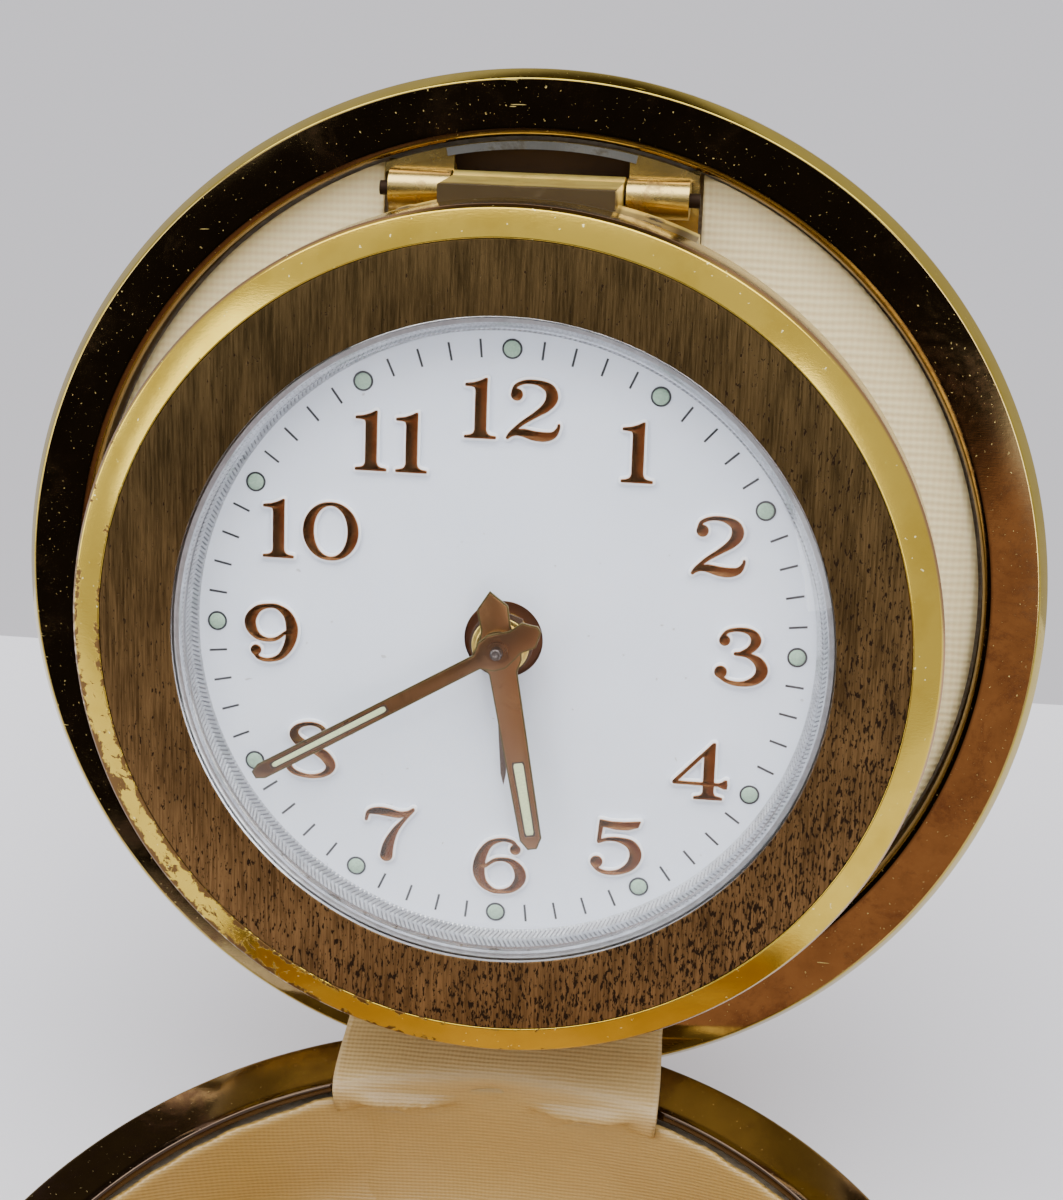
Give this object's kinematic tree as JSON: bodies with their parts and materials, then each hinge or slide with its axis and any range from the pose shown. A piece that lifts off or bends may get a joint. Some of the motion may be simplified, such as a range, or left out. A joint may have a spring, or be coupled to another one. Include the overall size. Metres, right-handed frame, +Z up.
{
  "type": "travel alarm clock",
  "caption": "Round folding travel alarm clock: a white-dialled drum hinged in a shallow lid that a cloth strap joins to a deep lined base.",
  "frame": {"origin": "middle of the flat underside of the base, on the surface that the clock stands on", "axes": "+X to the right of the dial, +Y away from the viewer, +Z up"},
  "size_m": [0.081, 0.1216, 0.0869],
  "materials": {
    "polished_brass": "polished gilt brass, worn",
    "brushed_bronze": "vertically brushed, pitted brown gilt",
    "case_cover": "fine-grained cream leathercloth",
    "case_shell": "plain pressed sheet",
    "lining_cloth": "cream ribbed vinyl cloth",
    "liner_board": "grey-brown card",
    "plated_steel": "brass-plated steel, worn at the edges",
    "bare_steel": "bare steel",
    "gilt_brass": "bright gilt brass",
    "crystal_acrylic": "clear domed acrylic",
    "reflector_silver": "silver-white, knurled",
    "dial_white": "satin white lacquer",
    "hand_gilt": "copper-brown gilt",
    "hand_dark": "dark lacquer",
    "movement_plastic": "off-white moulded plastic",
    "movement_brass": "lapped brass",
    "movement_steel": "polished steel",
    "key_brass": "gilt brass",
    "stop_button": "black moulded plastic"
  },
  "bodies": {
    "base": {"base_rim": "polished_brass", "base_cover": "case_cover", "base_shell": "case_shell", "base_lining": "lining_cloth", "base_wall_board": "liner_board", "strap": "lining_cloth"},
    "lid": {"lid_rim": "polished_brass", "lid_cover": "case_cover", "lid_shell": "case_shell", "lid_lining": "lining_cloth", "lid_board": "liner_board", "hinge_bracket": "plated_steel", "bracket_rivets": "plated_steel", "hinge_pin": "bare_steel"},
    "drum": {"drum_hinge_leaf": "gilt_brass", "leaf_rivets": "gilt_brass", "bezel": "polished_brass", "brushed_ring": "brushed_bronze", "crystal": "crystal_acrylic", "reflector_ring": "reflector_silver", "dial": "dial_white", "drum_band": "gilt_brass", "movement_ring": "movement_plastic", "back_cover": "gilt_brass", "back_screws": "bare_steel", "front_plate": "movement_brass", "rear_plate": "movement_brass", "pillars": "bare_steel", "plate_screws": "bare_steel", "hairspring": "movement_steel"},
    "minute_works": {"centre_arbor": "movement_steel", "cannon_pinion": "movement_brass", "minute_hand": "hand_gilt", "time_set_knob": "key_brass"},
    "minute_wheel": {"minute_wheel": "movement_brass"},
    "hour_works": {"hour_wheel": "movement_brass", "hour_hand": "hand_gilt"},
    "alarm_hand_works": {"alarm_wheel": "movement_brass", "alarm_hand": "hand_dark"},
    "alarm_setting": {"alarm_set_shaft": "movement_steel", "alarm_set_knob": "key_brass"},
    "barrel": {"mainspring_barrel": "movement_brass", "mainspring": "movement_steel"},
    "centre_wheel": {"centre_wheel": "movement_brass"},
    "third_wheel": {"third_wheel": "movement_brass"},
    "fourth_wheel": {"fourth_wheel": "movement_brass"},
    "escape_wheel": {"escape_wheel": "movement_steel"},
    "pallet_lever": {"pallet_lever": "movement_steel"},
    "balance": {"balance_wheel": "movement_brass"},
    "alarm_barrel": {"alarm_barrel": "movement_brass", "alarm_spring": "movement_steel"},
    "alarm_escape_wheel": {"alarm_escape_wheel": "movement_steel"},
    "alarm_hammer": {"alarm_hammer": "movement_steel"},
    "time_key": {"time_key": "key_brass"},
    "alarm_key": {"alarm_key": "key_brass"},
    "alarm_stop": {"alarm_stop_slide": "stop_button"},
    "regulator": {"regulator_lever": "movement_steel"}
  },
  "joints": [
    {"name": "strap_fold", "type": "hinge", "parent": "base", "child": "lid", "pos_m": [0, 0.03824, 0.0191], "axis": [1, 0, 0], "range_deg": [0, 117.9], "deforming": ["strap"]},
    {"name": "drum_swing", "type": "hinge", "parent": "lid", "child": "drum", "pos_m": [0, 0.07303, 0.07925], "axis": [1, 0, 0], "range_deg": [-60, 0]},
    {"name": "minute_spin", "type": "hinge", "parent": "drum", "child": "minute_works", "pos_m": [0, 0.04734, 0.05701], "axis": [0, 0.9011, -0.4337], "continuous": true},
    {"name": "minute_wheel_spin", "type": "hinge", "parent": "drum", "child": "minute_wheel", "pos_m": [-0.00564, 0.04645, 0.05516], "axis": [0, 0.9011, -0.4337], "continuous": true},
    {"name": "hour_spin", "type": "hinge", "parent": "drum", "child": "hour_works", "pos_m": [0, 0.04734, 0.05701], "axis": [0, 0.9011, -0.4337], "continuous": true},
    {"name": "alarm_hand_spin", "type": "hinge", "parent": "drum", "child": "alarm_hand_works", "pos_m": [0, 0.04734, 0.05701], "axis": [0, 0.9011, -0.4337], "continuous": true},
    {"name": "alarm_set_spin", "type": "hinge", "parent": "drum", "child": "alarm_setting", "pos_m": [0.0042, 0.04419, 0.05045], "axis": [0, 0.9011, -0.4337], "continuous": true},
    {"name": "fourth_wheel_spin", "type": "hinge", "parent": "drum", "child": "fourth_wheel", "pos_m": [0.0105, 0.04997, 0.06247], "axis": [0, 0.9011, -0.4337], "continuous": true},
    {"name": "third_wheel_spin", "type": "hinge", "parent": "drum", "child": "third_wheel", "pos_m": [0.0035, 0.04997, 0.06247], "axis": [0, 0.9011, -0.4337], "continuous": true},
    {"name": "centre_wheel_spin", "type": "hinge", "parent": "drum", "child": "centre_wheel", "pos_m": [0, 0.04734, 0.05701], "axis": [0, 0.9011, -0.4337], "continuous": true},
    {"name": "barrel_spin", "type": "hinge", "parent": "drum", "child": "barrel", "pos_m": [-0.0086, 0.04473, 0.05158], "axis": [0, 0.9011, -0.4337], "continuous": true},
    {"name": "escape_wheel_spin", "type": "hinge", "parent": "drum", "child": "escape_wheel", "pos_m": [0.01144, 0.04767, 0.05767], "axis": [0, 0.9011, -0.4337], "continuous": true},
    {"name": "pallet_rock", "type": "hinge", "parent": "drum", "child": "pallet_lever", "pos_m": [0.01144, 0.04567, 0.05353], "axis": [0, 0.9011, -0.4337], "range_deg": [-6, 6]},
    {"name": "balance_swing", "type": "hinge", "parent": "drum", "child": "balance", "pos_m": [0.01144, 0.04333, 0.04866], "axis": [0, 0.9011, -0.4337], "range_deg": [-135, 135], "stiffness_Nm_per_rad": 0.0000006},
    {"name": "alarm_barrel_spin", "type": "hinge", "parent": "drum", "child": "alarm_barrel", "pos_m": [-0.012, 0.05255, 0.06782], "axis": [0, 0.9011, -0.4337], "continuous": true},
    {"name": "alarm_escape_spin", "type": "hinge", "parent": "drum", "child": "alarm_escape_wheel", "pos_m": [-0.00464, 0.05439, 0.07165], "axis": [0, 0.9011, -0.4337], "continuous": true},
    {"name": "hammer_swing", "type": "hinge", "parent": "drum", "child": "alarm_hammer", "pos_m": [0.003, 0.0558, 0.07458], "axis": [0, 0.9011, -0.4337], "range_deg": [-3, 5]},
    {"name": "time_key_turn", "type": "hinge", "parent": "drum", "child": "time_key", "pos_m": [-0.0086, 0.04473, 0.05158], "axis": [0, 0.9011, -0.4337], "continuous": true},
    {"name": "alarm_key_turn", "type": "hinge", "parent": "drum", "child": "alarm_key", "pos_m": [-0.012, 0.05255, 0.06782], "axis": [0, 0.9011, -0.4337], "continuous": true},
    {"name": "alarm_stop_travel", "type": "slide", "parent": "drum", "child": "alarm_stop", "axis": [1, 0, 0], "range_m": [0, 0.0018]},
    {"name": "regulator_turn", "type": "hinge", "parent": "drum", "child": "regulator", "pos_m": [0.01144, 0.04333, 0.04866], "axis": [0, 0.9011, -0.4337], "range_deg": [-18, 18]}
  ],
  "couplings": [
    {"joint": "minute_wheel_spin", "follows": "minute_spin", "ratio": -0.33333},
    {"joint": "hour_spin", "follows": "minute_spin", "ratio": 0.083333},
    {"joint": "alarm_set_spin", "follows": "alarm_hand_spin", "ratio": -6},
    {"joint": "third_wheel_spin", "follows": "fourth_wheel_spin", "ratio": -0.16667},
    {"joint": "centre_wheel_spin", "follows": "fourth_wheel_spin", "ratio": 0.027778},
    {"joint": "barrel_spin", "follows": "fourth_wheel_spin", "ratio": -0.0046296},
    {"joint": "escape_wheel_spin", "follows": "fourth_wheel_spin", "ratio": -5},
    {"joint": "alarm_escape_spin", "follows": "alarm_barrel_spin", "ratio": -7.5}
  ]
}
